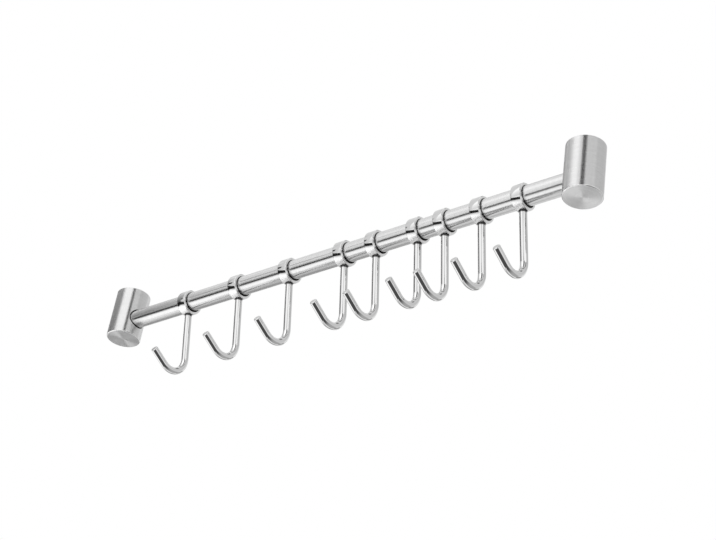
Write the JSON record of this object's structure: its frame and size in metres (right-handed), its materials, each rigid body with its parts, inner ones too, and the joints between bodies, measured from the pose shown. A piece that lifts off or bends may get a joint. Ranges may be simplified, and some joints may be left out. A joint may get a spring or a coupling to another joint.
{
  "type": "kitchen utensil rail",
  "caption": "Round steel rail between two cylindrical posts with concealed fixings, carrying J hooks on rings that slide and swing, for hanging kitchen utensils.",
  "frame": {"origin": "midway between the two posts, on the plane of their mount faces", "axes": "+X along the rail, +Z towards the shelf or wall that the posts are fixed to, hooks hang towards -Z with their tips towards -Y"},
  "size_m": [0.5, 0.0419, 0.0992],
  "materials": {
    "rail_steel": "satin stainless steel, ground along the tube",
    "post_steel": "satin stainless steel, brushed round on a lathe",
    "plug_metal": "bare turned steel",
    "screw_steel": "black oxide steel",
    "ring_steel": "polished stainless steel",
    "hook_steel": "polished stainless steel"
  },
  "bodies": {
    "rail": {"rail_tube": "rail_steel", "left_post": "post_steel", "right_post": "post_steel", "left_wall_plug": "plug_metal", "right_wall_plug": "plug_metal", "left_grub_screw": "screw_steel", "right_grub_screw": "screw_steel"},
    "ring_1": {"hook_1_ring": "ring_steel"},
    "hook_1": {"hook_1_rod": "hook_steel"},
    "ring_2": {"hook_2_ring": "ring_steel"},
    "hook_2": {"hook_2_rod": "hook_steel"},
    "ring_3": {"hook_3_ring": "ring_steel"},
    "hook_3": {"hook_3_rod": "hook_steel"},
    "ring_4": {"hook_4_ring": "ring_steel"},
    "hook_4": {"hook_4_rod": "hook_steel"},
    "ring_5": {"hook_5_ring": "ring_steel"},
    "hook_5": {"hook_5_rod": "hook_steel"},
    "ring_6": {"hook_6_ring": "ring_steel"},
    "hook_6": {"hook_6_rod": "hook_steel"},
    "ring_7": {"hook_7_ring": "ring_steel"},
    "hook_7": {"hook_7_rod": "hook_steel"},
    "ring_8": {"hook_8_ring": "ring_steel"},
    "hook_8": {"hook_8_rod": "hook_steel"},
    "ring_9": {"hook_9_ring": "ring_steel"},
    "hook_9": {"hook_9_rod": "hook_steel"}
  },
  "joints": [
    {"name": "hook_1_slide", "type": "slide", "parent": "rail", "child": "ring_1", "axis": [1, 0, 0], "range_m": [-0.0576, 0.0246]},
    {"name": "hook_1_swing", "type": "hinge", "parent": "ring_1", "child": "hook_1", "pos_m": [-0.1575, 0, -0.02844], "axis": [1, 0, 0], "range_deg": [-90, 105]},
    {"name": "hook_2_slide", "type": "slide", "parent": "rail", "child": "ring_2", "axis": [1, 0, 0], "range_m": [-0.0247, 0.0232]},
    {"name": "hook_2_swing", "type": "hinge", "parent": "ring_2", "child": "hook_2", "pos_m": [-0.0985, 0, -0.02844], "axis": [1, 0, 0], "range_deg": [-90, 105]},
    {"name": "hook_3_slide", "type": "slide", "parent": "rail", "child": "ring_3", "axis": [1, 0, 0], "range_m": [-0.0232, 0.0242]},
    {"name": "hook_3_swing", "type": "hinge", "parent": "ring_3", "child": "hook_3", "pos_m": [-0.0425, 0, -0.02844], "axis": [1, 0, 0], "range_deg": [-90, 105]},
    {"name": "hook_4_slide", "type": "slide", "parent": "rail", "child": "ring_4", "axis": [1, 0, 0], "range_m": [-0.0242, 0.0112]},
    {"name": "hook_4_swing", "type": "hinge", "parent": "ring_4", "child": "hook_4", "pos_m": [0.0155, 0, -0.02844], "axis": [1, 0, 0], "range_deg": [-90, 105]},
    {"name": "hook_5_slide", "type": "slide", "parent": "rail", "child": "ring_5", "axis": [1, 0, 0], "range_m": [-0.0112, 0.0154]},
    {"name": "hook_5_swing", "type": "hinge", "parent": "ring_5", "child": "hook_5", "pos_m": [0.0475, 0, -0.02844], "axis": [1, 0, 0], "range_deg": [-90, 105]},
    {"name": "hook_6_slide", "type": "slide", "parent": "rail", "child": "ring_6", "axis": [1, 0, 0], "range_m": [-0.0154, 0.0079]},
    {"name": "hook_6_swing", "type": "hinge", "parent": "ring_6", "child": "hook_6", "pos_m": [0.088, 0, -0.02844], "axis": [1, 0, 0], "range_deg": [-90, 105]},
    {"name": "hook_7_slide", "type": "slide", "parent": "rail", "child": "ring_7", "axis": [1, 0, 0], "range_m": [-0.0079, 0.0119]},
    {"name": "hook_7_swing", "type": "hinge", "parent": "ring_7", "child": "hook_7", "pos_m": [0.1135, 0, -0.02844], "axis": [1, 0, 0], "range_deg": [-90, 105]},
    {"name": "hook_8_slide", "type": "slide", "parent": "rail", "child": "ring_8", "axis": [1, 0, 0], "range_m": [-0.0119, 0.0134]},
    {"name": "hook_8_swing", "type": "hinge", "parent": "ring_8", "child": "hook_8", "pos_m": [0.147, 0, -0.02844], "axis": [1, 0, 0], "range_deg": [-90, 105]},
    {"name": "hook_9_slide", "type": "slide", "parent": "rail", "child": "ring_9", "axis": [1, 0, 0], "range_m": [-0.0134, 0.0316]},
    {"name": "hook_9_swing", "type": "hinge", "parent": "ring_9", "child": "hook_9", "pos_m": [0.1835, 0, -0.02844], "axis": [1, 0, 0], "range_deg": [-90, 105]}
  ]
}
